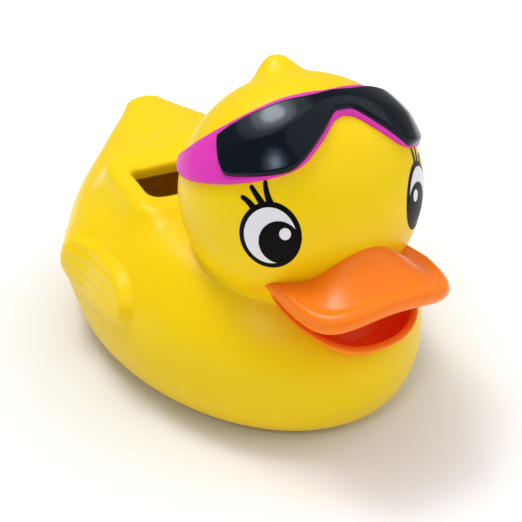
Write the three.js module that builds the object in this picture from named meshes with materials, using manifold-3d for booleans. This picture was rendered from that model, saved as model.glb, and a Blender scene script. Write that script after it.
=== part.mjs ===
import * as THREE from 'three';
import { LoftGeometry } from 'three/addons/geometries/LoftGeometry.js';
import { mergeVertices } from 'three/addons/utils/BufferGeometryUtils.js';
import Module from 'manifold-3d';

// Rubber duck with a slot in its back, moulded as one hollow vinyl shell
// Millimetres, +Z up, bill towards -Y, resting on Z = 0

const wasm = await Module();
wasm.setup();

// Driving dimensions
const WALL = 3.0;

// Body: an egg measured each way from its widest point
const BODY_Y = 9.5;
const BODY_WIDEST_HEIGHT = 14.9;
const BODY_SIDE = 43.1;
const BODY_FRONT = 66.3;
const BODY_BACK = 64.5;
const BODY_TOP = 34.7;
const BODY_BOTTOM = 35.4;
const BASE_ROUNDING = 7.0;

// Tail: a flattened cone, swelling a little between its root in the body and its tip
const TAIL_ROOT = new THREE.Vector3(0, 20.6, 23.9);
const TAIL_TIP = new THREE.Vector3(0, 68.1, 45.9);
const TAIL_ROOT_RADIUS = 19.7;
const TAIL_TIP_RADIUS = 2.8;
const TAIL_SWELL = 1.3;
const TAIL_FLATNESS = 2.24;
const TAIL_BLEND = 4.5;

// Rump: the round form that carries the tail's underside down into the back
const RUMP_ROOT = new THREE.Vector3(0, 36, 14);
const RUMP_TIP = new THREE.Vector3(0, 66.2, 38);
const RUMP_ROOT_RADIUS = 18;
const RUMP_TIP_RADIUS = 3.9;
const RUMP_BLEND = 9.5;

// Pad: the level field around the slot, tipped a little towards the head
const SLOT_LENGTH = 48.4;
const SLOT_WIDTH = 14.6;
const SLOT_CORNER = 2.2;
const SLOT_RIM = 1.0;
const SLOT_Y = 11.8;
const PAD_HEIGHT = 43.9;
const PAD_TILT = THREE.MathUtils.degToRad(8.8);
const PAD_SIDE_MARGIN = 4.6;
const PAD_FRONT_MARGIN = 7.6;
const PAD_BACK_MARGIN = 8.6;
const PAD_CORNER = 6.0;
const PAD_EDGE = 1.6;
const PAD_THICKNESS = 8.0;
const PAD_BLEND = 3.0;
const PAD_FOOT = 1.4;
const TAIL_FACE_RISE = THREE.MathUtils.degToRad(30);

// Wings: a low leaf on each side of the body, blunt in front and tapering to the rear
const WING_Y = 8.0;
const WING_HEIGHT = 24.9;
const WING_FRONT = 23.0;
const WING_BACK = 24.0;
const WING_HALF_DEPTH = 7.0;
const WING_TILT = THREE.MathUtils.degToRad(-2);
const WING_RAKE = 0.45;
const WING_BLUNTNESS = 4.0;
const WING_TAPER = 2.0;
const WING_END = 0.12;
const WING_RELIEF = 2.0;
const WING_REAR_RELIEF = 0.15;
const WING_FALL = 1.5;

// Head: taller below its middle than above it
const HEAD_CENTRE = new THREE.Vector3(0, -26.9, 52.5);
const HEAD_RADII = new THREE.Vector3(28.0, 26.5, 25.9);
const HEAD_BOTTOM = 27.2;

// Neck: a short column in the narrow hollow that the head overhangs
const NECK_RADIUS = 15.0;
const NECK_GAP = 1.6;

// Crest: a small rounded peak on the back of the crown
const CREST_LEAN = THREE.MathUtils.degToRad(25);
const CREST_HEIGHT = 4.2;
const CREST_RADIUS = 8.0;

// Sunglasses moulded on the forehead, as edges in degrees of azimuth and elevation
const FRAME_RELIEF = 1.0;
const LENS_RELIEF = 1.9;
const GLASSES_ROOT = 1.8;
const FRAME_TOP = [[0, 71], [26, 69.8], [50, 65.2], [66, 58], [85, 43.2], [105, 27], [121, 18]];
const FRAME_BOTTOM = [
  [0, 55.4], [9, 52.8], [20, 43.2], [31, 33], [46, 27], [72, 20.2], [101, 14.4], [121, 13.5],
];
const LENS_TOP = [[0, 68.6], [15, 67.6], [47, 63], [65, 55.5], [76.5, 46.5], [82, 40]];
const LENS_BOTTOM = [[0, 56.8], [8, 55.8], [20, 45.2], [32, 33], [40, 29.3], [66, 25.4], [76, 32], [82, 39]];

// Bill: seen from above, each half is a rounded fan about the middle of the mouth
const MOUTH_AHEAD = 11.9;
const MOUTH_BELOW = 12.5;
const UPPER_HALF_WIDTH = 17.9;
const UPPER_LENGTH = 25.3;
const UPPER_SQUARENESS = 4.6;
const UPPER_DROOP = THREE.MathUtils.degToRad(8);
const UPPER_ARCH = 3.2;
const LIP_THICKNESS = 3.8;
const LIP_BULGE = 0.03;
const ROOT_HEIGHT = 9.4;
const ROOT_SPREAD = THREE.MathUtils.degToRad(47);
const LOWER_BELOW = 3.3;
const LOWER_HALF_WIDTH = 16.5;
const LOWER_LENGTH = 22.0;
const LOWER_SQUARENESS = 2.7;
const LOWER_DROOP = THREE.MathUtils.degToRad(12.4);
const LOWER_SAG = 2.7;
const LOWER_RIM = 1.9;
const LOWER_DEPTH = 6.0;
const SCOOP_DEPTH = 3.2;

// Mesh fineness
const SKIN_DETAIL = 13;
const TAIL_FINENESS = 0.2;
const HOLLOW_DETAIL = 6;
const HEAD_STEPS = 36;
const HEAD_HOLLOW_STEPS = 20;
const NECK_STEPS = 32;
const FRAME_STEPS = 40;
const LENS_STEPS = 26;
const BILL_STEPS = 26;
const WING_STEPS = 12;
const CREST_STEPS = 6;

// A smooth join of two distances, and its opposite, a smooth cut
function blend(a, b, size) {
  const overlap = Math.max(size - Math.abs(a - b), 0) / size;
  return Math.min(a, b) - overlap * overlap * size / 4;
}

function cut(a, b, size) {
  return -blend(-a, -b, size);
}

// Distance to an ellipsoid with the given radii about the origin
function ellipsoidDistance(x, y, z, rx, ry, rz) {
  const near = Math.hypot(x / rx, y / ry, z / rz);
  const slope = Math.hypot(x / (rx * rx), y / (ry * ry), z / (rz * rz));
  return near * (near - 1) / Math.max(slope, 1e-9);
}

function bodyDistance(p) {
  const y = p.y - BODY_Y;
  const z = p.z - BODY_WIDEST_HEIGHT;
  const length = y < 0 ? BODY_FRONT : BODY_BACK;
  const height = z < 0 ? BODY_BOTTOM : BODY_TOP;
  return ellipsoidDistance(p.x, y, z, BODY_SIDE, length, height);
}

// Distance to a cone with round ends, which may swell between them
function coneDistance(p, from, to, fromRadius, toRadius, swell) {
  const spine = new THREE.Line3(from, to);
  const along = spine.closestPointToPointParameter(p, true);
  const radius = THREE.MathUtils.lerp(fromRadius, toRadius, along) + swell * Math.sin(Math.PI * along);
  return p.distanceTo(spine.at(along, new THREE.Vector3())) - radius;
}

function tailDistance(p) {
  const flat = new THREE.Vector3(p.x / TAIL_FLATNESS, p.y, p.z);
  return coneDistance(flat, TAIL_ROOT, TAIL_TIP, TAIL_ROOT_RADIUS, TAIL_TIP_RADIUS, TAIL_SWELL);
}

function rumpDistance(p) {
  return coneDistance(p, RUMP_ROOT, RUMP_TIP, RUMP_ROOT_RADIUS, RUMP_TIP_RADIUS, 0);
}

// Coordinates on the pad: back from the middle of the slot, and out of its surface
function padBack(p) {
  return (p.y - SLOT_Y) * Math.cos(PAD_TILT) + (p.z - PAD_HEIGHT) * Math.sin(PAD_TILT);
}

function padOut(p) {
  return (p.z - PAD_HEIGHT) * Math.cos(PAD_TILT) - (p.y - SLOT_Y) * Math.sin(PAD_TILT);
}

const PAD_HALF_WIDTH = SLOT_LENGTH / 2 + PAD_SIDE_MARGIN;
const PAD_FRONT = -SLOT_WIDTH / 2 - PAD_FRONT_MARGIN;
const PAD_BACK = SLOT_WIDTH / 2 + PAD_BACK_MARGIN;

// Above this the body is pared away: over the pad, and over the tail's rising face
function paringDistance(p) {
  const back = padBack(p) - PAD_BACK;
  const tailFace = padOut(p) * Math.cos(TAIL_FACE_RISE) - back * Math.sin(TAIL_FACE_RISE);
  return blend(padOut(p), tailFace, PAD_BLEND);
}

// The pad itself, which stands a little proud of the body at its front corners
function padDistance(p) {
  const middle = (PAD_FRONT + PAD_BACK) / 2;
  const reach = (PAD_BACK - PAD_FRONT) / 2;
  const side = Math.abs(p.x) - PAD_HALF_WIDTH + PAD_CORNER;
  const end = Math.abs(padBack(p) - middle) - reach + PAD_CORNER;
  const inset = Math.min(Math.max(side, end), 0);
  const outline = Math.hypot(Math.max(side, 0), Math.max(end, 0)) + inset - PAD_CORNER + PAD_EDGE;
  const depth = Math.abs(padOut(p) + PAD_THICKNESS / 2) - PAD_THICKNESS / 2 + PAD_EDGE;
  const rounded = Math.hypot(Math.max(outline, 0), Math.max(depth, 0));
  return rounded + Math.min(Math.max(outline, depth), 0) - PAD_EDGE;
}

// Distance to the skin of the body with its pad and tail
function skinDistance(p) {
  const tailed = blend(bodyDistance(p), tailDistance(p), TAIL_BLEND);
  const rear = blend(tailed, rumpDistance(p), RUMP_BLEND);
  const pared = cut(rear, paringDistance(p), PAD_BLEND);
  const padded = blend(pared, padDistance(p), PAD_FOOT);
  return cut(padded, -p.z, BASE_ROUNDING);
}

// The heart lies under the slot, where every point of the body's skin can be seen from
const HEART = new THREE.Vector3(0, 0, PAD_HEIGHT / 2);
const LONGEST = BODY_FRONT + BODY_BACK;

// A ball whose points move along rays from the heart until they lie at a depth below the skin
function ballUnderSkin(detail, depth) {
  const ball = new THREE.IcosahedronGeometry(1, detail);
  const reach = (BODY_FRONT + BODY_BACK) / 2;
  const toTail = TAIL_TIP.clone().sub(HEART).normalize();
  const tilt = new THREE.Quaternion().setFromUnitVectors(new THREE.Vector3(0, 1, 0), toTail);
  const middleOfBall = TAIL_TIP.clone().addScaledVector(toTail, -reach);
  const points = ball.getAttribute('position');
  const ray = new THREE.Vector3();
  const probe = new THREE.Vector3();
  for (let i = 0; i < points.count; i++) {
    ray.fromBufferAttribute(points, i);
    const squeeze = 1 - TAIL_FINENESS * Math.max(ray.y, 0);
    ray.set(ray.x * BODY_SIDE * squeeze, ray.y * reach, ray.z * BODY_BOTTOM * squeeze);
    ray.applyQuaternion(tilt).add(middleOfBall).sub(HEART).normalize();
    let near = 0;
    let far = LONGEST;
    for (let step = 0; step < 32; step++) {
      const middle = (near + far) / 2;
      probe.copy(HEART).addScaledVector(ray, middle);
      if (skinDistance(probe) + depth < 0) {
        near = middle;
      } else {
        far = middle;
      }
    }
    probe.copy(HEART).addScaledVector(ray, near);
    points.setXYZ(i, probe.x, probe.y, probe.z);
  }
  return ball;
}

// Turns a closed geometry into a solid for joining and cutting
function solid(geometry) {
  const bare = new THREE.BufferGeometry();
  bare.setAttribute('position', geometry.getAttribute('position').clone());
  bare.setIndex(geometry.getIndex());
  const merged = mergeVertices(bare, 1e-4);
  const vertProperties = new Float32Array(merged.getAttribute('position').array);
  const triVerts = new Uint32Array(merged.getIndex().array);
  return new wasm.Manifold(new wasm.Mesh({ numProp: 3, vertProperties, triVerts }));
}

// The head's form, grown or shrunk by a margin
function headBall(widthSteps, heightSteps, margin) {
  const ball = new THREE.SphereGeometry(1, widthSteps, heightSteps);
  ball.rotateX(Math.PI / 2);
  const points = ball.getAttribute('position');
  for (let i = 0; i < points.count; i++) {
    const z = points.getZ(i);
    const height = (z < 0 ? HEAD_BOTTOM : HEAD_RADII.z) + margin;
    const x = points.getX(i) * (HEAD_RADII.x + margin);
    const y = points.getY(i) * (HEAD_RADII.y + margin);
    points.setXYZ(i, x, y, z * height);
  }
  ball.translate(HEAD_CENTRE.x, HEAD_CENTRE.y, HEAD_CENTRE.z);
  return solid(ball);
}

// The neck, from inside the head down into the body's wall under it
function neckColumn(radius) {
  const height = HEAD_BOTTOM + NECK_GAP + WALL;
  const column = new THREE.CylinderGeometry(radius, radius, height, NECK_STEPS);
  column.rotateX(Math.PI / 2);
  column.translate(HEAD_CENTRE.x, HEAD_CENTRE.y, HEAD_CENTRE.z - height / 2);
  return solid(column);
}

// A smooth edge through hand-set stations, alike on both sides of the face
function edgeThrough(stations) {
  const positions = stations.map((station) => station[0]);
  const values = stations.map((station) => station[1]);
  const curve = new THREE.CubicInterpolant(positions, values, 1);
  return (azimuth) => curve.evaluate(Math.abs(azimuth))[0];
}

// A point on the head, or standing off it, from azimuth and elevation in degrees
function onHead(azimuth, elevation, standOff) {
  const a = THREE.MathUtils.degToRad(azimuth);
  const e = THREE.MathUtils.degToRad(elevation);
  const out = new THREE.Vector3(Math.sin(a) * Math.cos(e), -Math.cos(a) * Math.cos(e), Math.sin(e));
  return out.multiply(HEAD_RADII.clone().addScalar(standOff)).add(HEAD_CENTRE);
}

// A band round the head between two edges, rounded off where it meets the skin
function bandOnHead(topStations, bottomStations, relief, steps, shoulder) {
  const top = edgeThrough(topStations);
  const bottom = edgeThrough(bottomStations);
  const end = topStations[topStations.length - 1][0];
  const across = [0, shoulder, 0.35, 0.65, 1 - shoulder, 1];
  const height = [0.35, 1, 1, 1, 1, 0.35];
  const sections = [];
  for (let i = 0; i <= steps; i++) {
    const azimuth = THREE.MathUtils.lerp(-end, end, i / steps);
    const low = bottom(azimuth);
    const high = top(azimuth);
    const at = (t, standOff) => onHead(azimuth, THREE.MathUtils.lerp(low, high, t), standOff);
    const outer = across.map((t, k) => at(t, relief * height[k]));
    const inner = across.map((t) => at(t, -GLASSES_ROOT));
    sections.push([...outer, ...inner.reverse()].reverse());
  }
  return solid(new LoftGeometry(sections, { capStart: true, capEnd: true }));
}

// The crest is turned about the line that leans back from the head's centre
function crest() {
  const lean = new THREE.Vector3(0, Math.sin(CREST_LEAN), Math.cos(CREST_LEAN));
  const reach = 1 / lean.clone().divide(HEAD_RADII).length();
  const profile = [new THREE.Vector2(0, -GLASSES_ROOT), new THREE.Vector2(CREST_RADIUS, -GLASSES_ROOT)];
  for (let i = 0; i <= CREST_STEPS; i++) {
    const radius = CREST_RADIUS * (1 - i / CREST_STEPS);
    const sag = reach - Math.sqrt(reach * reach - radius * radius);
    const peak = CREST_HEIGHT * (1 - THREE.MathUtils.smootherstep(radius, 0, CREST_RADIUS));
    profile.push(new THREE.Vector2(radius, peak - sag - 0.2));
  }
  const geometry = new THREE.LatheGeometry(profile, 4 * CREST_STEPS);
  geometry.applyQuaternion(new THREE.Quaternion().setFromUnitVectors(new THREE.Vector3(0, 1, 0), lean));
  const foot = HEAD_CENTRE.clone().addScaledVector(lean, reach);
  geometry.translate(foot.x, foot.y, foot.z);
  return solid(geometry);
}

// The middle of the mouth, about which both halves of the bill fan out
const MOUTH = new THREE.Vector3(0, HEAD_CENTRE.y - MOUTH_AHEAD, HEAD_CENTRE.z - MOUTH_BELOW);

// Outline of half a bill seen from above, at an angle from straight ahead
function fan(angle, halfWidth, length, squareness) {
  const power = 2 / squareness;
  return {
    x: halfWidth * Math.sign(Math.sin(angle)) * Math.abs(Math.sin(angle)) ** power,
    y: -length * Math.abs(Math.cos(angle)) ** power,
  };
}

function fanSections(sectionAt) {
  const sections = [];
  for (let i = 0; i <= BILL_STEPS; i++) {
    sections.push(sectionAt(THREE.MathUtils.lerp(Math.PI / 2, -Math.PI / 2, i / BILL_STEPS)));
  }
  return solid(new LoftGeometry(sections, { capStart: true, capEnd: true }));
}

// Upper half: a thick rolled lip, and a broad ridge that climbs the face behind it
function upperBill() {
  return fanSections((angle) => {
    const rim = fan(angle, UPPER_HALF_WIDTH, UPPER_LENGTH, UPPER_SQUARENESS);
    const forward = -rim.y / UPPER_LENGTH;
    const middle = 1 - (rim.x / UPPER_HALF_WIDTH) ** 2;
    const lipLow = rim.y * Math.tan(UPPER_DROOP) + UPPER_ARCH * middle * forward;
    const lipHigh = lipLow + LIP_THICKNESS * (0.35 + 0.65 * Math.min(2 * forward, 1));
    const aside = Math.atan2(Math.abs(rim.x), -rim.y);
    const root = Math.max(ROOT_HEIGHT * Math.exp(-((aside / ROOT_SPREAD) ** 2)), lipHigh + 0.4);
    const at = (reach, height) => new THREE.Vector3(rim.x * reach, rim.y * reach, height).add(MOUTH);
    return [
      at(0.3, Math.min(lipLow * 0.3 + 1, root - 1)),
      at(0.7, lipLow * 0.85 + 0.4),
      at(0.95, lipLow - 0.3),
      at(1, THREE.MathUtils.lerp(lipLow, lipHigh, 0.02)),
      at(1 + LIP_BULGE, THREE.MathUtils.lerp(lipLow, lipHigh, 0.4)),
      at(1 + LIP_BULGE / 2, THREE.MathUtils.lerp(lipLow, lipHigh, 0.8)),
      at(0.96, lipHigh),
      at(0.88, THREE.MathUtils.lerp(lipHigh, root, 0.06)),
      at(0.74, THREE.MathUtils.lerp(lipHigh, root, 0.42)),
      at(0.6, THREE.MathUtils.lerp(lipHigh, root, 0.9)),
      at(0.46, root + 0.5),
      at(0.3, root + 0.5),
    ];
  });
}

// Lower half: a shallow scoop with a rounded rim, rising to meet the upper at the corners
function lowerBill() {
  return fanSections((angle) => {
    const rim = fan(angle, LOWER_HALF_WIDTH, LOWER_LENGTH, LOWER_SQUARENESS);
    const forward = -rim.y / LOWER_LENGTH;
    const middle = 1 - (rim.x / LOWER_HALF_WIDTH) ** 2;
    const sunk = LOWER_BELOW * (1 - 0.8 * (1 - forward) ** 6);
    const edge = rim.y * Math.tan(LOWER_DROOP) - LOWER_SAG * middle * forward - sunk;
    const inner = 1 - LOWER_RIM / Math.hypot(rim.x, rim.y);
    const depth = LOWER_DEPTH * (0.4 + 0.6 * forward);
    const scoop = SCOOP_DEPTH * (0.1 + 0.9 * forward);
    const at = (reach, height) => new THREE.Vector3(rim.x * reach, rim.y * reach, height).add(MOUTH);
    return [
      at(0.3, edge * 0.6 - depth),
      at(0.7, edge * 0.9 - depth * 0.75),
      at(0.88, edge - depth * 0.42),
      at(0.96, edge - depth * 0.18),
      at(1, edge),
      at(THREE.MathUtils.lerp(inner, 1, 0.65), edge + 0.55),
      at(THREE.MathUtils.lerp(inner, 1, 0.15), edge + 0.4),
      at(inner - 0.04, edge - scoop * 0.5),
      at(0.7, edge * 0.98 - scoop),
      at(0.3, edge * 0.6 - scoop),
    ];
  });
}

// How far out to the side the skin lies at a point along and up the body
function skinReach(y, z) {
  let near = 0;
  let far = 2 * BODY_SIDE;
  for (let step = 0; step < 32; step++) {
    const middle = (near + far) / 2;
    if (skinDistance(new THREE.Vector3(middle, y, z)) < 0) {
      near = middle;
    } else {
      far = middle;
    }
  }
  return near;
}

// One wing, laid over the skin of the side given as 1 or -1
function wing(side) {
  const across = [-1, -0.86, -0.6, 0, 0.6, 0.86, 1];
  const height = [0.15, 0.7, 1, 1, 1, 0.7, 0.15];
  const sections = [];
  for (let i = 0; i <= WING_STEPS; i++) {
    const along = -0.995 * Math.cos(Math.PI * i / WING_STEPS);
    const length = along < 0 ? WING_FRONT : WING_BACK;
    const power = along < 0 ? WING_BLUNTNESS : WING_TAPER;
    const halfDepth = WING_HALF_DEPTH * Math.sqrt(1 - Math.abs(along) ** power);
    const fade = Math.sqrt(Math.min((1 - Math.abs(along)) / WING_END, 1));
    const rise = ((1 - along) / 2) ** WING_FALL;
    const relief = THREE.MathUtils.lerp(WING_REAR_RELIEF, WING_RELIEF, rise) * fade;
    const middle = WING_HEIGHT + along * length * Math.tan(WING_TILT);
    const at = (v, out) => {
      const y = WING_Y + along * length + WING_RAKE * v * halfDepth;
      const z = middle + v * halfDepth;
      return new THREE.Vector3(side * (skinReach(y, z) + out), y, z);
    };
    const outer = across.map((v, k) => at(v, relief * height[k]));
    const inner = across.map((v) => at(v, -WALL / 2));
    const ring = [...outer, ...inner.reverse()];
    sections.push(side > 0 ? ring.reverse() : ring);
  }
  return solid(new LoftGeometry(sections, { capStart: true, capEnd: true }));
}

// A rounded rectangle as wide as the slot, grown by a margin
function slotOutline(margin) {
  const halfLength = SLOT_LENGTH / 2 + margin;
  const halfWidth = SLOT_WIDTH / 2 + margin;
  const corner = SLOT_CORNER + margin;
  const shape = new THREE.Shape();
  shape.moveTo(-halfLength + corner, -halfWidth);
  shape.lineTo(halfLength - corner, -halfWidth);
  shape.absarc(halfLength - corner, -halfWidth + corner, corner, -Math.PI / 2, 0);
  shape.absarc(halfLength - corner, halfWidth - corner, corner, 0, Math.PI / 2);
  shape.absarc(-halfLength + corner, halfWidth - corner, corner, Math.PI / 2, Math.PI);
  shape.absarc(-halfLength + corner, -halfWidth + corner, corner, Math.PI, Math.PI * 1.5);
  return shape.getPoints(4).slice(0, -1);
}

// The slot's cutter: straight through the wall, flaring at its rim into the pad
function slotCutter() {
  const flare = [
    [-3 * WALL, 0],
    [-SLOT_RIM, 0],
    [-SLOT_RIM * 0.35, SLOT_RIM * 0.3],
    [0, SLOT_RIM],
    [WALL, 2 * SLOT_RIM],
  ];
  const sections = flare.map(([out, margin]) =>
    slotOutline(margin).map((p) => new THREE.Vector3(p.x, p.y, out)));
  const geometry = new LoftGeometry(sections, { capStart: true, capEnd: true });
  geometry.rotateX(PAD_TILT);
  geometry.translate(0, SLOT_Y, PAD_HEIGHT);
  return solid(geometry);
}

// The body, with a dish under the head that keeps it a narrow gap away from the head
const dished = solid(ballUnderSkin(SKIN_DETAIL, 0))
  .add(wing(1))
  .add(wing(-1))
  .subtract(headBall(HEAD_STEPS, HEAD_STEPS / 2, NECK_GAP));

// The outside is joined from its forms
const outside = dished
  .add(neckColumn(NECK_RADIUS))
  .add(headBall(HEAD_STEPS, HEAD_STEPS / 2, 0))
  .add(crest())
  .add(bandOnHead(FRAME_TOP, FRAME_BOTTOM, FRAME_RELIEF, FRAME_STEPS, 0.08))
  .add(bandOnHead(LENS_TOP, LENS_BOTTOM, LENS_RELIEF, LENS_STEPS, 0.14))
  .add(upperBill())
  .add(lowerBill());

// The hollow keeps a wall's thickness from the outside, and passes through the neck
const hollow = solid(ballUnderSkin(HOLLOW_DETAIL, WALL))
  .subtract(headBall(HEAD_HOLLOW_STEPS, HEAD_HOLLOW_STEPS / 2, NECK_GAP + WALL))
  .add(neckColumn(NECK_RADIUS - WALL))
  .add(headBall(HEAD_HOLLOW_STEPS, HEAD_HOLLOW_STEPS / 2, -WALL));
const shell = outside.subtract(hollow).subtract(slotCutter());

function geometryOf(manifold) {
  const mesh = manifold.getMesh();
  const geometry = new THREE.BufferGeometry();
  geometry.setAttribute('position', new THREE.BufferAttribute(mesh.vertProperties, 3));
  geometry.setIndex(new THREE.BufferAttribute(mesh.triVerts, 1));
  geometry.computeVertexNormals();
  return geometry;
}

const yellowVinyl = new THREE.MeshStandardMaterial({ color: 0xf4cf1c, roughness: 0.42, metalness: 0 });
const duck = new THREE.Mesh(geometryOf(shell), yellowVinyl);
duck.name = 'duck_shell';

// The duck is set with the middle of its length and width over the origin
duck.geometry.computeBoundingBox();
const extent = duck.geometry.boundingBox;
const centre = extent.getCenter(new THREE.Vector3());
duck.geometry.translate(-centre.x, -centre.y, -extent.min.z);

const group = new THREE.Group();
group.add(duck);

export default group;
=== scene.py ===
import math
import bpy
import numpy as np
from mathutils import Matrix, Vector


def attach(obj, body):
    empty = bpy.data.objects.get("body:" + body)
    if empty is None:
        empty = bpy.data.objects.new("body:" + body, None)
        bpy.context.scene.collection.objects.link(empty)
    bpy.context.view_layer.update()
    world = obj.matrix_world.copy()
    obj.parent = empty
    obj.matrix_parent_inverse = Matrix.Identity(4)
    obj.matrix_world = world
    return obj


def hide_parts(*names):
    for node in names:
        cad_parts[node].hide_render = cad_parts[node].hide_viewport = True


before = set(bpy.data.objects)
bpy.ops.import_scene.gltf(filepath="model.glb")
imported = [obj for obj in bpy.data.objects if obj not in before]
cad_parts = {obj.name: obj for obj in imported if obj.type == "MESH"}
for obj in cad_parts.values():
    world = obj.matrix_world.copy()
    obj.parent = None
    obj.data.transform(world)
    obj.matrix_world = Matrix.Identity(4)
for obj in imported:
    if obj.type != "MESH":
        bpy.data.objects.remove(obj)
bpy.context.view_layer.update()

MM = 0.001

# Shapes are worked out in millimetres in the part's own source frame, with the bill
# towards -Y, and this is how far the part was moved to stand centred on the origin
CENTRING = np.array([0.0, -4.530, 0.0])

# Body
BODY_Y, BODY_WIDEST_HEIGHT = 9.5, 14.9
BODY_SIDE, BODY_FRONT, BODY_BACK = 43.1, 66.3, 64.5
BODY_TOP, BODY_BOTTOM = 34.7, 35.4
BASE_ROUNDING = 7.0
WALL = 3.0

# Tail and the rump that carries it
TAIL_ROOT, TAIL_TIP = np.array([0.0, 20.6, 23.9]), np.array([0.0, 68.1, 45.9])
TAIL_ROOT_RADIUS, TAIL_TIP_RADIUS, TAIL_SWELL = 19.7, 2.8, 1.3
TAIL_FLATNESS, TAIL_BLEND = 2.24, 4.5
TAIL_FACE_RISE = math.radians(30)
TAIL_SCOOP, TAIL_SCOOP_WIDTH, TAIL_SCOOP_START, TAIL_SCOOP_FULL = 1.0, 13.0, 4.0, 16.0
RUMP_ROOT, RUMP_TIP = np.array([0.0, 36.0, 14.0]), np.array([0.0, 66.2, 38.0])
RUMP_ROOT_RADIUS, RUMP_TIP_RADIUS, RUMP_BLEND = 18.0, 3.9, 9.5

# Slot and the pad around it
SLOT_LENGTH, SLOT_WIDTH, SLOT_CORNER, SLOT_ROUNDING = 48.4, 14.6, 2.2, 1.8
SLOT_FOOT = 25.0
SLOT_Y = 11.8
PAD_HEIGHT, PAD_TILT = 43.9, math.radians(8.8)
PAD_HALF_WIDTH = SLOT_LENGTH / 2 + 4.6
PAD_FRONT = -SLOT_WIDTH / 2 - 7.6
PAD_BACK = SLOT_WIDTH / 2 + 10.4
PAD_CORNER, PAD_EDGE, PAD_THICKNESS = 7.5, 1.5, 8.0
PAD_BLEND, PAD_FOOT, PAD_SIDE_FOOT = 3.0, 1.8, 5.0
PAD_SIDE_FROM, PAD_SIDE_TO = 19.0, 28.0

# Wings
WING_Y, WING_HEIGHT = 8.0, 24.9
WING_FRONT, WING_BACK, WING_HALF_DEPTH = 23.0, 24.0, 7.0
WING_TILT, WING_RAKE = math.radians(-2), 0.45
WING_BLUNTNESS, WING_TAPER = 4.0, 2.0
WING_RELIEF, WING_REAR_RELIEF, WING_FALL = 2.5, 0.15, 1.5
WING_SHOULDER, WING_SOFT_SHOULDER, WING_FOOT = 1.4, 2.4, 0.7
FEATHER_LINES = (0.62, 0.24, -0.16)
FEATHER_DEPTH, FEATHER_WIDTH = 0.2, 0.1
FEATHER_START, FEATHER_FULL, FEATHER_FADES, FEATHER_END = -0.8, -0.5, 0.2, 0.6

# Head, neck and crest
HEAD_CENTRE = np.array([0.0, -26.9, 52.5])
HEAD_SIDE, HEAD_LENGTH, HEAD_TOP, HEAD_BOTTOM = 28.0, 26.5, 25.9, 27.2
HEAD_FOOT_BLEND = 1.8
NECK_RADIUS, NECK_GAP, NECK_BLEND, DISH_EDGE = 15.0, 0.4, 3.0, 1.4
CREST_LEAN, CREST_HEIGHT, CREST_RADIUS, CREST_ROOT = math.radians(25), 4.2, 8.0, 0.6

# Sunglasses, as edges in degrees of azimuth and elevation on the head
FRAME_TOP = [[0, 71.2], [26, 70.5], [50, 66.4], [66, 59.3], [85, 44.2], [105, 27.5], [121, 18]]
FRAME_BOTTOM = [
    [0, 55.4], [9, 52.8], [20, 43.2], [31, 33], [46, 27], [72, 20.2], [101, 14.4], [121, 13.5],
]
LENS_TOP = [[0, 68.9], [15, 67.9], [47, 63.3], [65, 55.5], [76.5, 46.5], [82, 40]]
LENS_BOTTOM = [
    [0, 56.8], [8, 55.8], [20, 45.2], [32, 33], [40, 29.3], [58, 26.0], [66.5, 25.2],
    [70, 27.2], [76, 33], [82, 39.5],
]
FRAME_RELIEF, FRAME_EDGE, FRAME_END = 1.0, 0.8, 3.2
LENS_RELIEF, LENS_EDGE, LENS_CROWN = 1.9, 0.9, 0.4
BAND_ROOT, BAND_CROWN_REACH = 0.8, 9.0

# Bill
MOUTH = HEAD_CENTRE + np.array([0.0, -11.9, -12.5])
UPPER_HALF_WIDTH, UPPER_LENGTH, UPPER_SQUARENESS = 17.9, 25.3, 4.6
UPPER_DROOP, UPPER_ARCH = math.radians(8), 3.2
LIP_THICKNESS, LIP_BULGE = 3.8, 0.03
ROOT_HEIGHT, ROOT_SPREAD = 9.4, math.radians(47)
LOWER_HALF_WIDTH, LOWER_LENGTH, LOWER_SQUARENESS = 16.5, 22.0, 2.7
LOWER_BELOW, LOWER_DROOP, LOWER_SAG = 3.3, math.radians(12.4), 2.7
LOWER_RIM, LOWER_DEPTH, LOWER_ROOT_DEPTH = 1.9, 6.0, 0.4
SCOOP_DEPTH, SCOOP_ROOT_DEPTH = 3.2, 0.1
CORNER_RISE, CORNER_SHARPNESS = 0.8, 6

# Underside of the lower bill from its root to its edge: how far out each station lies,
# its share of the edge's height, and its share of the depth below that
UNDER_REACH = (0.3, 0.7, 0.88, 0.96, 1)
UNDER_RISE = (0.6, 0.9, 1, 1, 1)
UNDER_DEPTH = (1, 0.75, 0.42, 0.18, 0)

# Paint at the mouth
MOUTH_RED_REACH, MOUTH_RED_ROOF = 0.97, 2.5
MOUTH_RED_MARGIN, THROAT_RED_MARGIN = 0.6, 0.1
THROAT_REACH, THROAT_HALF_WIDTH = 0.8, 8.0
FADE_OUT, FADE_AHEAD, FADE_DOWN = 17.5, 1.0, 0.5
FADE_STRENGTH, FADE_SPREAD = 0.8, 5.0

# Mesh fineness, and the space around the duck that is searched for its skin
SKIN_CELL, LINING_CELL = 1.0, 2.5
LOW, HIGH = (-47.3, -57.3, -1.3), (47.3, 76.3, 83.3)
FRAME_GRID, LENS_GRID = (320, 34), (360, 48)
SECTION_STEPS = 5
UPPER_COLUMNS, LOWER_COLUMNS = 160, 140


# Distances that make up the skin: negative inside, zero on the surface

def smin(a, b, k):
    """Smooth join of two distances"""
    h = np.maximum(k - np.abs(a - b), 0) / k
    return np.minimum(a, b) - h * h * k / 4


def smax(a, b, k):
    """Smooth cut of one distance by another"""
    return -smin(-a, -b, k)


def smoothstep(x, low, high):
    t = np.clip((x - low) / (high - low), 0, 1)
    return t * t * (3 - 2 * t)


def mix(a, b, t):
    return a + (b - a) * t


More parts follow.
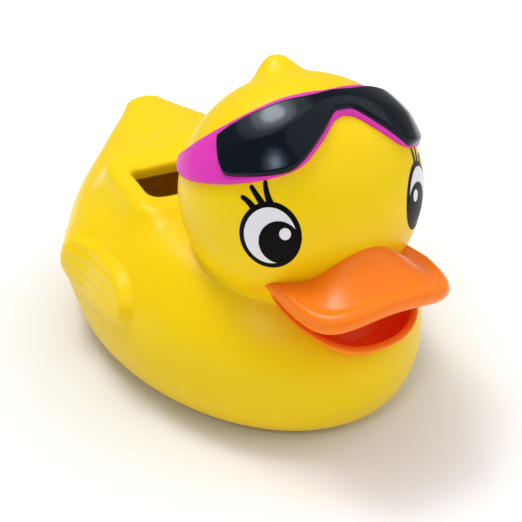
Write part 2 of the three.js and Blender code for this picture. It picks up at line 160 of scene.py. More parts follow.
def ellipsoid(x, y, z, rx, ry, rz):
    near = np.sqrt((x / rx) ** 2 + (y / ry) ** 2 + (z / rz) ** 2)
    slope = np.sqrt((x / rx ** 2) ** 2 + (y / ry ** 2) ** 2 + (z / rz ** 2) ** 2)
    return near * (near - 1) / np.maximum(slope, 1e-9)


def cone(x, y, z, root, tip, root_radius, tip_radius, swell):
    """A cone with round ends, which may swell between them"""
    spine = tip - root
    p = [x - root[0], y - root[1], z - root[2]]
    along = np.clip(sum(a * b for a, b in zip(p, spine)) / (spine @ spine), 0, 1)
    gap = np.sqrt(sum((a - b * along) ** 2 for a, b in zip(p, spine)))
    return gap - mix(root_radius, tip_radius, along) - swell * np.sin(np.pi * along)


def body_distance(x, y, z):
    dy, dz = y - BODY_Y, z - BODY_WIDEST_HEIGHT
    length = np.where(dy < 0, BODY_FRONT, BODY_BACK)
    height = np.where(dz < 0, BODY_BOTTOM, BODY_TOP)
    return ellipsoid(x, dy, dz, BODY_SIDE, length, height)


def tail_distance(x, y, z):
    return cone(x / TAIL_FLATNESS, y, z, TAIL_ROOT, TAIL_TIP,
                TAIL_ROOT_RADIUS, TAIL_TIP_RADIUS, TAIL_SWELL)


def rump_distance(x, y, z):
    return cone(x, y, z, RUMP_ROOT, RUMP_TIP, RUMP_ROOT_RADIUS, RUMP_TIP_RADIUS, 0)


def pad_back(y, z):
    return (y - SLOT_Y) * math.cos(PAD_TILT) + (z - PAD_HEIGHT) * math.sin(PAD_TILT)


def pad_out(y, z):
    return (z - PAD_HEIGHT) * math.cos(PAD_TILT) - (y - SLOT_Y) * math.sin(PAD_TILT)


def paring_distance(x, y, z):
    """Above this the body is pared away, over the pad and over the tail's scooped face"""
    back = pad_back(y, z) - PAD_BACK
    face = pad_out(y, z) * math.cos(TAIL_FACE_RISE) - back * math.sin(TAIL_FACE_RISE)
    scoop = TAIL_SCOOP * np.exp(-(x / TAIL_SCOOP_WIDTH) ** 2)
    scoop = scoop * smoothstep(back, TAIL_SCOOP_START, TAIL_SCOOP_FULL)
    return smin(pad_out(y, z), face + scoop, PAD_BLEND)


def pad_distance(x, y, z):
    middle, reach = (PAD_FRONT + PAD_BACK) / 2, (PAD_BACK - PAD_FRONT) / 2
    side = np.abs(x) - PAD_HALF_WIDTH + PAD_CORNER
    end = np.abs(pad_back(y, z) - middle) - reach + PAD_CORNER
    outline = np.hypot(np.maximum(side, 0), np.maximum(end, 0))
    outline += np.minimum(np.maximum(side, end), 0) - PAD_CORNER + PAD_EDGE
    depth = np.abs(pad_out(y, z) + PAD_THICKNESS / 2) - PAD_THICKNESS / 2 + PAD_EDGE
    rounded = np.hypot(np.maximum(outline, 0), np.maximum(depth, 0))
    return rounded + np.minimum(np.maximum(outline, depth), 0) - PAD_EDGE


def wing_relief(x, y, z):
    """Height of the wings above the skin, with faint lines between their feathers"""
    dy = y - WING_Y - WING_RAKE * (z - WING_HEIGHT)
    length = np.where(dy < 0, WING_FRONT, WING_BACK)
    power = np.where(dy < 0, WING_BLUNTNESS, WING_TAPER)
    along = dy / length
    across = (z - WING_HEIGHT - dy * math.tan(WING_TILT)) / WING_HALF_DEPTH
    reach = np.sqrt(np.abs(along) ** power + across ** 2) + 1e-6
    slope = np.hypot(power * np.abs(along) ** (power - 1) / (2 * reach * length),
                     across / (reach * WING_HALF_DEPTH)) + 1e-6
    inset = (1 - reach) / slope
    shoulder = mix(WING_SHOULDER, WING_SOFT_SHOULDER, smoothstep(-across, 0.0, 0.8))
    rise = ((1 - np.clip(along, -1, 1)) / 2) ** WING_FALL
    leaf = mix(WING_REAR_RELIEF, WING_RELIEF, rise) * smoothstep(inset, -WING_FOOT, shoulder)
    starts = smoothstep(along, FEATHER_START, FEATHER_FULL)
    ends = 1 - smoothstep(along, FEATHER_FADES, FEATHER_END)
    lines = 0
    for middle in FEATHER_LINES:
        line = np.exp(-((across - middle) / FEATHER_WIDTH) ** 2)
        lines = lines + line * starts * ends
    return leaf - FEATHER_DEPTH * lines * (reach < 1)


def crest_height(x, y, z):
    lean = np.array([0.0, math.sin(CREST_LEAN), math.cos(CREST_LEAN)])
    reach = 1 / np.linalg.norm(lean / np.array([HEAD_SIDE, HEAD_LENGTH, HEAD_TOP]))
    dy, dz = y - HEAD_CENTRE[1], z - HEAD_CENTRE[2]
    along = dy * lean[1] + dz * lean[2]
    off = np.sqrt(np.maximum(x * x + dy * dy + dz * dz - along * along, 0))
    t = np.clip(off / CREST_RADIUS, 0, 1)
    peak = CREST_HEIGHT * (1 - t ** 3 * (t * (6 * t - 15) + 10))
    return peak * smoothstep(along, 0, reach * CREST_ROOT)


def head_distance(x, y, z):
    dz = z - HEAD_CENTRE[2]
    height = np.where(dz < 0, HEAD_BOTTOM, HEAD_TOP)
    return ellipsoid(x, y - HEAD_CENTRE[1], dz, HEAD_SIDE, HEAD_LENGTH, height)


def neck_distance(x, y, z):
    column = np.hypot(x, y - HEAD_CENTRE[1]) - NECK_RADIUS
    foot = HEAD_CENTRE[2] - HEAD_BOTTOM - NECK_GAP - WALL - z
    return np.maximum(np.maximum(column, z - HEAD_CENTRE[2]), foot)


def skin_distance(x, y, z):
    """The whole duck without its slot, bill and sunglasses"""
    tailed = smin(body_distance(x, y, z), tail_distance(x, y, z), TAIL_BLEND)
    rear = smin(tailed, rump_distance(x, y, z), RUMP_BLEND)
    pared = smax(rear, paring_distance(x, y, z), PAD_BLEND)
    foot = PAD_FOOT + PAD_SIDE_FOOT * smoothstep(np.abs(x), PAD_SIDE_FROM, PAD_SIDE_TO)
    padded = smin(pared, pad_distance(x, y, z), foot) - wing_relief(x, y, z)
    head = head_distance(x, y, z)
    dished = smax(padded, NECK_GAP - head, DISH_EDGE)
    based = smax(dished, -z, BASE_ROUNDING)
    crowned = smin(head - crest_height(x, y, z), neck_distance(x, y, z), NECK_BLEND)
    return smin(based, crowned, HEAD_FOOT_BLEND)


def slot_distance(x, y, z):
    side = np.abs(x) - SLOT_LENGTH / 2 + SLOT_CORNER
    end = np.abs(pad_back(y, z)) - SLOT_WIDTH / 2 + SLOT_CORNER
    inside = np.minimum(np.maximum(side, end), 0)
    return np.hypot(np.maximum(side, 0), np.maximum(end, 0)) + inside - SLOT_CORNER


def slotted_distance(x, y, z):
    cut = np.maximum(slot_distance(x, y, z), SLOT_FOOT - z)
    return smax(skin_distance(x, y, z), -cut, SLOT_ROUNDING)


def lining_distance(x, y, z):
    return skin_distance(x, y, z) + WALL


# Meshes

def surface(distance, low, high, cell):
    """The zero level of a distance as points and quads, one point in each cell it crosses"""
    axes = [np.arange(a, b + cell, cell) for a, b in zip(low, high)]
    nx, ny, nz = map(len, axes)
    values = np.empty((nx, ny, nz))
    gy, gz = np.meshgrid(axes[1], axes[2], indexing="ij")
    for i, x in enumerate(axes[0]):
        values[i] = distance(np.full_like(gy, x), gy, gz)
    inside = values < 0

    def corner(grid, shift):
        dx, dy, dz = shift
        return grid[dx:nx - 1 + dx, dy:ny - 1 + dy, dz:nz - 1 + dz]

    total = np.zeros((nx - 1, ny - 1, nz - 1, 3))
    count = np.zeros((nx - 1, ny - 1, nz - 1))
    for axis in range(3):
        others = [a for a in range(3) if a != axis]
        for u in (0, 1):
            for v in (0, 1):
                start = [0, 0, 0]
                start[others[0]], start[others[1]] = u, v
                step = [int(a == axis) for a in range(3)]
                stop = [s + d for s, d in zip(start, step)]
                a, b = corner(values, start), corner(values, stop)
                crossed = corner(inside, start) != corner(inside, stop)
                t = np.where(crossed, a / np.where(crossed, a - b, 1), 0)
                for k in range(3):
                    total[..., k] += np.where(crossed, start[k] + t * step[k], 0)
                count += crossed
    used = count > 0
    index = np.full(used.shape, -1)
    index[used] = np.arange(used.sum())
    points = np.array(low) + cell * (np.argwhere(used) + total[used] / count[used][:, None])

    quads = []
    for axis in range(3):
        others = [a for a in range(3) if a != axis]
        lower = tuple(slice(0, n - (a == axis)) for a, n in enumerate((nx, ny, nz)))
        upper = tuple(slice(int(a == axis), n) for a, n in enumerate((nx, ny, nz)))
        edges = np.argwhere(inside[lower] != inside[upper])
        keep = np.ones(len(edges), bool)
        for k in others:
            keep &= (edges[:, k] > 0) & (edges[:, k] < (nx, ny, nz)[k] - 1)
        edges = edges[keep]
        outward = inside[lower][tuple(edges.T)]
        ring = []
        for u, v in ((1, 1), (0, 1), (0, 0), (1, 0)):
            at = edges.copy()
            at[:, others[0]] -= u
            at[:, others[1]] -= v
            ring.append(index[tuple(at.T)])
        ring = np.stack(ring, 1)
        inward = ~outward if axis != 1 else outward
        ring[inward] = ring[inward][:, ::-1]
        quads.append(ring)
    return points, np.concatenate(quads)


def gradient(distance, p, h=0.05):
    x, y, z = p.T
    return np.stack([distance(x + h, y, z) - distance(x - h, y, z),
                     distance(x, y + h, z) - distance(x, y - h, z),
                     distance(x, y, z + h) - distance(x, y, z - h)], 1) / (2 * h)


def settle(distance, p, steps=3):
    """Moves points onto the zero level"""
    for _ in range(steps):
        g = gradient(distance, p)
        p = p - g * (distance(*p.T) / np.maximum((g * g).sum(1), 0.05))[:, None]
    return p


def mesh_object(name, points, faces):
    """A smooth mesh from points in millimetres"""
    mesh = bpy.data.meshes.new(name)
    mesh.from_pydata(((points + CENTRING) * MM).tolist(), [], [tuple(map(int, f)) for f in faces])
    mesh.validate()
    mesh.update()
    mesh.polygons.foreach_set("use_smooth", [True] * len(mesh.polygons))
    piece = bpy.data.objects.new(name, mesh)
    bpy.context.scene.collection.objects.link(piece)
    return piece


def set_normals(piece, normals):
    unit = normals / np.linalg.norm(normals, axis=1)[:, None]
    piece.data.normals_split_custom_set_from_vertices(unit.tolist())


def grid_faces(rows, columns):
    i, j = np.meshgrid(np.arange(rows - 1), np.arange(columns - 1), indexing="ij")
    a, b = i * columns + j, i * columns + j + 1
    return np.stack([a, b, b + columns, a + columns], -1).reshape(-1, 4)


def trimmed(points, faces, keep):
    """The faces to keep, and only the points that they use"""
    faces = faces[keep]
    used = np.unique(faces)
    renumber = np.full(len(points), -1)
    renumber[used] = np.arange(len(used))
    return points[used], renumber[faces]


# Materials: each has slight cloudiness in its colour and a faint unevenness

def material(name, colour, shade, roughness, scale, grain_scale, **sockets):
    m = bpy.data.materials.new(name)
    m.use_nodes = True
    shader = m.node_tree.nodes["Principled BSDF"]
    shader.inputs["Roughness"].default_value = roughness
    for socket, value in sockets.items():
        shader.inputs[socket.replace("_", " ")].default_value = value
    place = node(m, "ShaderNodeTexCoord").outputs["Object"]
    cloud = node(m, "ShaderNodeTexNoise", {"Vector": place}, Scale=scale, Detail=2.0)
    tint = node(m, "ShaderNodeMix", data_type="RGBA")
    tint.name = "tint"
    tint.inputs[6].default_value = (*colour, 1)
    tint.inputs[7].default_value = (*shade, 1)
    m.node_tree.links.new(cloud.outputs["Fac"], tint.inputs[0])
    grain = node(m, "ShaderNodeTexNoise", {"Vector": place}, Scale=grain_scale, Detail=3.0)
    relief = node(m, "ShaderNodeBump", {"Height": grain.outputs["Fac"]},
                  Strength=GRAIN_STRENGTH, Distance=GRAIN_HEIGHT)
    m.node_tree.links.new(relief.outputs["Normal"], shader.inputs["Normal"])
    m.node_tree.links.new(tint.outputs[2], shader.inputs["Base Color"])
    return m


def node(m, kind, links=None, data_type=None, **values):
    n = m.node_tree.nodes.new(kind)
    if data_type:
        n.data_type = data_type
    for socket, value in values.items():
        n.inputs[socket.replace("_", " ")].default_value = value
    for socket, source in (links or {}).items():
        m.node_tree.links.new(source, n.inputs[socket])
    return n


def tint_by(m, attribute, colour):
    """Lays another colour over a material, as strong as a number kept on the points"""
    shader = m.node_tree.nodes["Principled BSDF"]
    below = shader.inputs["Base Color"].links[0].from_socket
    level = node(m, "ShaderNodeAttribute")
    level.attribute_name = attribute
    over = node(m, "ShaderNodeMix", data_type="RGBA")
    m.node_tree.links.new(level.outputs["Fac"], over.inputs[0])
    m.node_tree.links.new(below, over.inputs[6])
    over.inputs[7].default_value = (*colour, 1)
    m.node_tree.links.new(over.outputs[2], shader.inputs["Base Color"])


GRAIN_STRENGTH, GRAIN_HEIGHT = 0.02, 0.001
YELLOW, YELLOW_SHADE = (0.92, 0.645, 0.003), (0.90, 0.61, 0.003)
ORANGE, ORANGE_SHADE = (0.98, 0.22, 0.012), (0.96, 0.195, 0.010)
RED = (0.92, 0.105, 0.011)
# A paler orange painted along the lower lip's rim as a highlight
LIP_RIM_HIGHLIGHT = (1.0, 0.25, 0.05)
MAGENTA, MAGENTA_SHADE = (0.74, 0.045, 0.47), (0.71, 0.04, 0.44)
LENS_BLACK, LENS_SHADE = (0.002, 0.004, 0.008), (0.003, 0.006, 0.010)
INK, INK_SHADE = (0.002, 0.002, 0.002), (0.003, 0.003, 0.003)
WHITE, WHITE_SHADE = (0.80, 0.77, 0.81), (0.77, 0.74, 0.78)

vinyl = material("yellow_vinyl", YELLOW, YELLOW_SHADE, 0.33, 30, 900, Specular_IOR_Level=0.16,
                 Subsurface_Weight=0.12, Subsurface_Radius=(0.004, 0.002, 0.0004))
tint_by(vinyl, "orange_fade", ORANGE)
tint_by(vinyl, "mouth_red", RED)
bill_paint = material("bill_paint", ORANGE, ORANGE_SHADE, 0.3, 60, 700, Specular_IOR_Level=0.13,
                      Coat_Weight=0.1, Coat_Roughness=0.08)
# The painted highlight on the lower lip, as strong as the points' rim level
tint_by(bill_paint, "rim", LIP_RIM_HIGHLIGHT)
tint_by(bill_paint, "inside", RED)
magenta = material("magenta_paint", MAGENTA, MAGENTA_SHADE, 0.4, 60, 700, Specular_IOR_Level=0.15)
lens_paint = material("lens_paint", LENS_BLACK, LENS_SHADE, 0.15, 60, 500, Specular_IOR_Level=0.2,
                      Specular_Tint=(0.75, 0.88, 1, 1))
ink = material("black_print", INK, INK_SHADE, 0.4, 80, 700, Specular_IOR_Level=0.06)
white_print = material("white_print", WHITE, WHITE_SHADE, 0.4, 80, 700, Specular_IOR_Level=0.3)


def paint(piece, m):
    """Finishes a piece that stands for the moulded shell"""
    piece.data.materials.append(m)
    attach(piece, "root")
    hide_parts("duck_shell")
    return piece


def point_level(piece, name, values):
    level = piece.data.attributes.new(name, "FLOAT", "POINT")
    level.data.foreach_set("value", np.asarray(values, float).ravel())


# The skin, open at its slot, and the lining seen through it
SLOT_WALL_END, SLOT_WALL_NEAR, SLOT_FOOT_OVERLAP = -WALL - 0.3, 0.6, 2.0
LINING_OPENS_ABOVE = 36

points, faces = surface(slotted_distance, LOW, HIGH, SKIN_CELL)
points = settle(slotted_distance, points)
points[:, 2] = np.maximum(points[:, 2], 0)
below_wall = pad_out(points[:, 1], points[:, 2]) < SLOT_WALL_END
in_slot = slot_distance(*points.T) < SLOT_WALL_NEAR
in_slot &= points[:, 2] > SLOT_FOOT - SLOT_FOOT_OVERLAP
points, faces = trimmed(points, faces, ~(below_wall & in_slot)[faces].any(1))
skin = mesh_object("duck_skin", points, faces)
set_normals(skin, gradient(slotted_distance, points))
paint(skin, vinyl)


def orange_fade(p):
    """Airbrushed orange on the skin at the corners of the mouth"""
    x, y, z = (p - MOUTH).T
    off = (np.abs(x) - FADE_OUT) ** 2 + (y + FADE_AHEAD) ** 2 + (z + FADE_DOWN) ** 2
    return FADE_STRENGTH * np.exp(-off / FADE_SPREAD)


def lower_edge(x, forward):
    """Height of the lower bill's edge above the mouth's corners, and the depth below it"""
    middle = 1 - (x / LOWER_HALF_WIDTH) ** 2
    sunk = LOWER_BELOW * (1 - CORNER_RISE * (1 - forward) ** CORNER_SHARPNESS)
    edge = -forward * LOWER_LENGTH * math.tan(LOWER_DROOP) - LOWER_SAG * middle * forward - sunk
    return edge, LOWER_DEPTH * mix(LOWER_ROOT_DEPTH, 1, forward)


def mouth_red(p):
    """Red paint on what shows of the skin between the halves of the bill"""
    x, y, z = (p - MOUTH).T
    reach = ((np.abs(x) / LOWER_HALF_WIDTH) ** LOWER_SQUARENESS
             + (np.maximum(-y, 0) / LOWER_LENGTH) ** LOWER_SQUARENESS) ** (1 / LOWER_SQUARENESS)
    reach = np.maximum(reach, 0.05)
    forward = np.clip(-y / LOWER_LENGTH / reach, 0, 1)
    edge, depth = lower_edge(x / reach, forward)
    under = edge * np.interp(reach, UNDER_REACH, UNDER_RISE)
    under -= depth * np.interp(reach, UNDER_REACH, UNDER_DEPTH)
    throat = (reach < THROAT_REACH) & (np.abs(x) < THROAT_HALF_WIDTH)
    under += np.where(throat, THROAT_RED_MARGIN, MOUTH_RED_MARGIN)
    roof = MOUTH_RED_ROOF * (1 - (x / UPPER_HALF_WIDTH) ** 2)
    return (reach < MOUTH_RED_REACH) & (y < 0) & (z > under) & (z < roof)


point_level(skin, "orange_fade", orange_fade(points))
point_level(skin, "mouth_red", mouth_red(points))

points, faces = surface(lining_distance, LOW, HIGH, LINING_CELL)
points = settle(lining_distance, points)
off_slot = slot_distance(*points.T)
over_slot = (off_slot < 0)[faces].any(1) & (points[faces][:, :, 2].min(1) > LINING_OPENS_ABOVE)
rim = np.intersect1d(faces[over_slot], faces[~over_slot])
points[rim] -= gradient(slot_distance, points[rim]) * off_slot[rim, None]
points, faces = trimmed(points, faces, ~over_slot)
lining = mesh_object("duck_lining", points, faces[:, ::-1])
paint(lining, vinyl)


# Sunglasses

def edge_through(stations, value):
    """A smooth edge through listed stations, alike on both sides of the face"""
    xs, ys = np.array(stations, float).T
    v = np.abs(np.asarray(value, float))
    m = np.empty(len(xs))
    m[1:-1] = (ys[2:] - ys[:-2]) / (xs[2:] - xs[:-2])
    m[0], m[-1] = (ys[1] - ys[0]) / (xs[1] - xs[0]), (ys[-1] - ys[-2]) / (xs[-1] - xs[-2])
    k = np.clip(np.searchsorted(xs, v, side="right") - 1, 0, len(xs) - 2)
    span = xs[k + 1] - xs[k]
    t = (v - xs[k]) / span
    t2, t3 = t * t, t ** 3
    return ((2 * t3 - 3 * t2 + 1) * ys[k] + (t3 - 2 * t2 + t) * span * m[k]
            + (3 * t2 - 2 * t3) * ys[k + 1] + (t3 - t2) * span * m[k + 1])


def on_head(azimuth, elevation, stand_off):
    """Points on the head, or standing off it, from azimuth and elevation in degrees"""
    a, e = np.radians(azimuth), np.radians(elevation)
    out = np.stack([np.sin(a) * np.cos(e), -np.cos(a) * np.cos(e), np.sin(e)], -1)
    height = np.where(e < 0, HEAD_BOTTOM, HEAD_TOP)
    side, length = np.full_like(height, HEAD_SIDE), np.full_like(height, HEAD_LENGTH)
    radii = np.stack([side, length, height], -1)
    return HEAD_CENTRE + out * (radii + np.asarray(stand_off)[..., None])


def distance_to_loop(points, loop):
    """Distance from each point to the nearest segment of a closed line"""
    nearest = np.full(points.shape[:-1], np.inf)
    for a, b in zip(loop, np.roll(loop, -1, axis=0)):
        along = b - a
        t = np.clip(((points - a) @ along) / max(along @ along, 1e-12), 0, 1)
        nearest = np.minimum(nearest, np.linalg.norm(points - a - t[..., None] * along, axis=-1))
    return nearest


def band(name, top, bottom, relief, edge, crown, size, blunt_end):
    """A raised band round the head: stepped at its edges, crowned between them"""
    columns, rows = size
    end = top[-1][0]
    azimuth = end * np.sin(np.linspace(-np.pi / 2, np.pi / 2, columns) * 0.999)
    low, high = edge_through(bottom, azimuth), edge_through(top, azimuth)
    if blunt_end:
        over = np.maximum(np.abs(azimuth) - end + blunt_end, 0) / blunt_end
        taper = np.clip(1 - over ** 3, 0.0004, 1) ** (1 / 3)
        middle = (low + high) / 2
        low, high = middle + (low - middle) * taper, middle + (high - middle) * taper
    t = (1 - np.cos(np.linspace(0, np.pi, rows))) / 2
    elevation = low[:, None] + (high - low)[:, None] * t
    azimuths = np.repeat(azimuth[:, None], rows, 1)
    flat = on_head(azimuths, elevation, np.zeros_like(elevation))
    gap = distance_to_loop(flat, np.concatenate([flat[:, 0], flat[::-1, -1]]))
    near = np.clip(gap / edge, 0, 1)
    step = relief * np.sqrt(1 - (1 - near) ** 2)
    outer = on_head(azimuths, elevation, step + crown * smoothstep(gap, 0, BAND_CROWN_REACH))
    root = np.full(columns, -BAND_ROOT)
    skirt_low, skirt_high = on_head(azimuth, low, root), on_head(azimuth, high, root)
    points = np.concatenate([skirt_low[:, None], outer, skirt_high[:, None]], 1)
    return mesh_object(name, points.reshape(-1, 3), grid_faces(columns, rows + 2))


paint(band("glasses_frame", FRAME_TOP, FRAME_BOTTOM, FRAME_RELIEF, FRAME_EDGE, 0.0,
           FRAME_GRID, FRAME_END), magenta)
paint(band("glasses_lens", LENS_TOP, LENS_BOTTOM, LENS_RELIEF, LENS_EDGE, LENS_CROWN,
           LENS_GRID, 0), lens_paint)


# Bill

def fan(half_width, length, squareness, count):
    """Points evenly spaced along the outline of one half of the bill, seen from above"""
    angle = np.linspace(-np.pi / 2, np.pi / 2, 4001)
    power = 2 / squareness
    x = half_width * np.sign(np.sin(angle)) * np.abs(np.sin(angle)) ** power
    y = -length * np.abs(np.cos(angle)) ** power
    run = np.concatenate([[0], np.cumsum(np.hypot(np.diff(x), np.diff(y)))])
    even = np.linspace(0, run[-1], count)
    return np.interp(even, run, x), np.interp(even, run, y)


def rounded(section, steps):
    """A smooth line through the points of a section"""
    p = np.asarray(section)
    p = np.concatenate([[2 * p[0] - p[1]], p, [2 * p[-1] - p[-2]]])
    line = []
    for i in range(1, len(p) - 2):
        a, b, c, d = p[i - 1:i + 3]
        for t in np.linspace(0, 1, steps, endpoint=False):
            line.append(0.5 * (2 * b + (c - a) * t + (2 * a - 5 * b + 4 * c - d) * t ** 2
                               + (3 * b - a - 3 * c + d) * t ** 3))
    line.append(p[-2])
    return np.array(line)


def upper_section(x, y):
    forward = -y / UPPER_LENGTH
    middle = 1 - (x / UPPER_HALF_WIDTH) ** 2
    low = y * math.tan(UPPER_DROOP) + UPPER_ARCH * middle * forward
    high = low + LIP_THICKNESS * (0.35 + 0.65 * min(2 * forward, 1))
    aside = math.atan2(abs(x), -y)
    root = max(ROOT_HEIGHT * math.exp(-(aside / ROOT_SPREAD) ** 2), high + 0.4)
    return [
        (0.3, min(low * 0.3 + 1, root - 1)),
        (0.7, low * 0.85 + 0.4),
        (0.95, low - 0.3),
        (1, mix(low, high, 0.02)),
        (1 + LIP_BULGE, mix(low, high, 0.4)),
        (1 + LIP_BULGE / 2, mix(low, high, 0.8)),
        (0.965, high),
        (0.925, high - 0.12),
        (0.87, mix(high, root, 0.06)),
        (0.74, mix(high, root, 0.42)),
        (0.6, mix(high, root, 0.9)),
        (0.46, root + 0.5),
        (0.3, root + 0.5),
    ]


def lower_section(x, y):
    forward = -y / LOWER_LENGTH
    edge, depth = lower_edge(x, forward)
    inner = 1 - LOWER_RIM / math.hypot(x, y)
    scoop = SCOOP_DEPTH * mix(SCOOP_ROOT_DEPTH, 1, forward)
    stations = zip(UNDER_REACH, UNDER_RISE, UNDER_DEPTH)
    under = [(out, edge * rise - depth * below) for out, rise, below in stations]
    return under + [
        (mix(inner, 1, 0.65), edge + 0.55),
        (mix(inner, 1, 0.15), edge + 0.4),
        (inner - 0.04, edge - scoop * 0.5),
        (0.7, edge * 0.98 - scoop),
        (0.3, edge * 0.6 - scoop),
    ]


def bill(name, section_at, outline, inside, rim):
    """One half of the bill; inside says how red each station is, and rim how strong the painted
    highlight, a paler orange, lies on it
    """
    rows = []
    for x, y in zip(*outline):
        section = rounded(section_at(x, y), SECTION_STEPS)
        rows.append(np.stack([x * section[:, 0], y * section[:, 0], section[:, 1]], 1) + MOUTH)
    rows = np.array(rows)
    piece = mesh_object(name, rows.reshape(-1, 3), grid_faces(*rows.shape[:2]))
    station = np.tile(np.arange(rows.shape[1]) / SECTION_STEPS, (len(rows), 1))
    point_level(piece, "inside", inside(station))
    point_level(piece, "rim", rim(station))
    return paint(piece, bill_paint)


upper_outline = fan(UPPER_HALF_WIDTH, UPPER_LENGTH, UPPER_SQUARENESS, UPPER_COLUMNS)
lower_outline = fan(LOWER_HALF_WIDTH, LOWER_LENGTH, LOWER_SQUARENESS, LOWER_COLUMNS)
bill("bill_upper", upper_section, upper_outline,
     lambda s: 1 - smoothstep(s, 1.6, 2.6), lambda s: 0 * s)
# The lower bill's rim level lays a painted highlight in a narrow band along the top of its lip
bill("bill_lower", lower_section, lower_outline,
     lambda s: smoothstep(s, 6.4, 7.1), lambda s: 0.8 * np.exp(-((s - 6.0) / 0.35) ** 2))


# Eyes, as ovals of paint in degrees of azimuth and elevation on the head

def oval(azimuth, elevation, half_width, half_height, count=72):
    a = np.linspace(0, 2 * np.pi, count, endpoint=False)
    return np.stack([azimuth + half_width * np.cos(a), elevation + half_height * np.sin(a)], 1)


def lash(root, bend, tip, root_width, tip_width, count=12):
    """A curved stroke with a round tip, from its root by way of its bend"""
    root, bend, tip = map(np.array, (root, bend, tip))
    t = np.linspace(0, 1, count)[:, None]
    line = (1 - t) ** 2 * root + 2 * t * (1 - t) * bend + t ** 2 * tip
    run = np.gradient(line, axis=0)
    across = np.stack([-run[:, 1], run[:, 0]], 1) / np.linalg.norm(run, axis=1)[:, None]
    width = mix(root_width, tip_width, t)
    turn = np.linspace(0, np.pi, 9)[1:-1, None]
    ahead = run[-1] / np.linalg.norm(run[-1])
    cap = line[-1] + tip_width * (np.cos(turn) * across[-1] + np.sin(turn) * ahead)
    return np.concatenate([line + across * width, cap, (line - across * width)[::-1]])


def decal(name, outline, stand_off, m):
    """A shape of paint laid on the head inside an outline"""
    outline = np.asarray(outline, float)
    middle = outline.mean(0)
    rings = np.linspace(0, 1, 13)[1:, None, None]
    flat = np.concatenate([[middle], (middle + (outline - middle) * rings).reshape(-1, 2)])
    points = on_head(flat[:, 0], flat[:, 1], np.full(len(flat), stand_off))
    n = len(outline)
    faces = [(0, 1 + i, 1 + (i + 1) % n) for i in range(n)]
    quads = []
    for r in range(len(rings) - 1):
        a, b = 1 + r * n, 1 + (r + 1) * n
        quads += [(a + i, b + i, b + (i + 1) % n, a + (i + 1) % n) for i in range(n)]
    return paint(mesh_object(name, points, faces + quads), m)


LAYER = 0.05
LASH_ROOT_WIDTH, LASH_TIP_WIDTH = 1.5, 1.05
EYE_RING = (2.2, 2.5)
LASHES = [
    ((7.2, 11.6), (10.0, 14.8), (13.2, 15.8)),
    ((3.6, 14.0), (6.6, 17.6), (9.8, 20.8)),
    ((0.3, 15.0), (2.6, 18.6), (3.7, 23.4)),
]


def eye(side, name, centre, half, pupil, pupil_half, glint, glint_half):
    """One eye and its lashes; side is -1 for the duck's right and 1 for its left"""
    away = np.array([side, 1.0])
    for i, (root, bend, tip) in enumerate(LASHES):
        stroke = [centre + away * np.array(p) for p in (root, bend, tip)]
        shape = lash(*stroke, LASH_ROOT_WIDTH, LASH_TIP_WIDTH)
        decal(f"eye_{name}_lash_{i + 1}", shape, LAYER, ink)
    white_half = np.array(half) - EYE_RING
    decal(f"eye_{name}_outline", oval(*centre, *half), LAYER, ink)
    decal(f"eye_{name}_white", oval(*centre, *white_half), 2 * LAYER, white_print)
    decal(f"eye_{name}_pupil", oval(*pupil, *pupil_half), 3 * LAYER, ink)
    decal(f"eye_{name}_glint", oval(*glint, *glint_half), 4 * LAYER, white_print)


eye(-1, "right", np.array([-43.3, 2.1]), (13.4, 15.7),
    (-39.2, -0.5), (8.7, 10.1), (-36.8, 3.9), (2.4, 2.8))
eye(1, "left", np.array([37.0, 6.0]), (14.5, 16.5),
    (32.6, 3.2), (9.6, 10.8), (30.8, 8.4), (2.5, 2.9))


# Floor, light and camera; the floor and the lights are placed in metres
FLOOR_REACH, FLOOR_DROP = 3.0, 0.0001
FLOOR_PALE = (0.80, 0.79, 0.78)
# The floor's painted glow: none within FLOOR_NEAR metres of the duck's middle, full beyond
# FLOOR_FAR
FLOOR_NEAR, FLOOR_FAR, FLOOR_GLOW_NEAR, FLOOR_GLOW_FAR = 0.05, 0.15, 0.0, 0.50
STUDIO_LIGHT = 0.27


def plain_floor():
    """A pale floor with a painted glow, none near the duck and rising away from it, so that it
    brightens to white
    """
    r = FLOOR_REACH
    mesh = bpy.data.meshes.new("floor")
    mesh.from_pydata([(-r, -r, 0), (r, -r, 0), (r, r, 0), (-r, r, 0)], [], [(0, 1, 2, 3)])
    piece = bpy.data.objects.new("floor", mesh)
    piece.location.z = -FLOOR_DROP
    bpy.context.scene.collection.objects.link(piece)
    m = bpy.data.materials.new("floor")
    m.use_nodes = True
    shader = m.node_tree.nodes["Principled BSDF"]
    shader.inputs["Base Color"].default_value = (*FLOOR_PALE, 1)
    shader.inputs["Roughness"].default_value = 0.7
    shader.inputs["Specular IOR Level"].default_value = 0.1
    place = node(m, "ShaderNodeTexCoord").outputs["Object"]
    far = node(m, "ShaderNodeVectorMath", {0: place})
    far.operation = "LENGTH"
    glow = node(m, "ShaderNodeMapRange", {"Value": far.outputs["Value"]}, From_Min=FLOOR_NEAR,
                From_Max=FLOOR_FAR, To_Min=FLOOR_GLOW_NEAR, To_Max=FLOOR_GLOW_FAR)
    shader.inputs["Emission Color"].default_value = (1, 1, 1, 1)
    m.node_tree.links.new(glow.outputs["Result"], shader.inputs["Emission Strength"])
    piece.data.materials.append(m)


plain_floor()

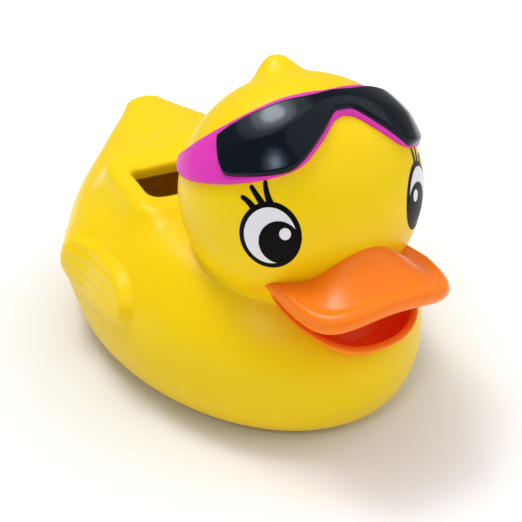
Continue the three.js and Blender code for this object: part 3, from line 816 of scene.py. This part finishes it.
world = bpy.data.worlds.new("studio")
bpy.context.scene.world = world
world.use_nodes = True
background = world.node_tree.nodes["Background"]
background.inputs["Color"].default_value = (1, 1, 1, 1)
background.inputs["Strength"].default_value = STUDIO_LIGHT


def soft_light(name, direction, distance, sizes, power, colour):
    """Discs of growing size at one place, whose light fades towards the edge of the largest"""
    aim = Vector((0, 0, 0.03))
    for i, size in enumerate(sizes):
        data = bpy.data.lights.new(f"{name}_{i}", "AREA")
        data.shape = "DISK"
        data.size = size
        data.energy = power / len(sizes)
        data.color = colour
        lamp = bpy.data.objects.new(f"{name}_{i}", data)
        lamp.location = aim + Vector(direction).normalized() * (distance + 0.004 * i)
        lamp.rotation_euler = (aim - lamp.location).to_track_quat("-Z", "Y").to_euler()
        bpy.context.scene.collection.objects.link(lamp)


soft_light("top_light", (-0.15, 0.28, 0.95), 0.8, (0.2, 0.4, 0.7), 4.5, (1, 1, 1))
soft_light("fill_light", (0.42, -0.50, 0.76), 0.9, (1.6,), 4.6, (1, 1, 1))
soft_light("front_light", (-0.57, -0.47, 0.67), 0.8, (0.1, 0.2, 0.3), 0.9, (0.8, 0.9, 1))

# The camera that the photo was fitted with, its picture 522 pixels wide
TURN, TILT, DISTANCE, FOCAL = 0.5101, 0.5014, 215.582, 779.88
PICTURE_WIDTH, SENSOR_WIDTH = 522, 36
AIM = np.array([4.729, 0.0, 19.451])
level = math.cos(TILT)
back = np.array([-math.sin(TURN) * level, -math.cos(TURN) * level, math.sin(TILT)])
right = np.array([math.cos(TURN), -math.sin(TURN), 0.0])
up = np.cross(back, right)
camera_data = bpy.data.cameras.new("camera")
camera_data.sensor_width = SENSOR_WIDTH
camera_data.lens = FOCAL / PICTURE_WIDTH * SENSOR_WIDTH
camera = bpy.data.objects.new("camera", camera_data)
turn = Matrix([[right[i], up[i], back[i]] for i in range(3)]).to_4x4()
camera.matrix_world = Matrix.Translation(Vector((AIM + back * DISTANCE + CENTRING) * MM)) @ turn
bpy.context.scene.collection.objects.link(camera)
bpy.context.scene.camera = camera
bpy.context.scene.view_settings.view_transform = "Standard"
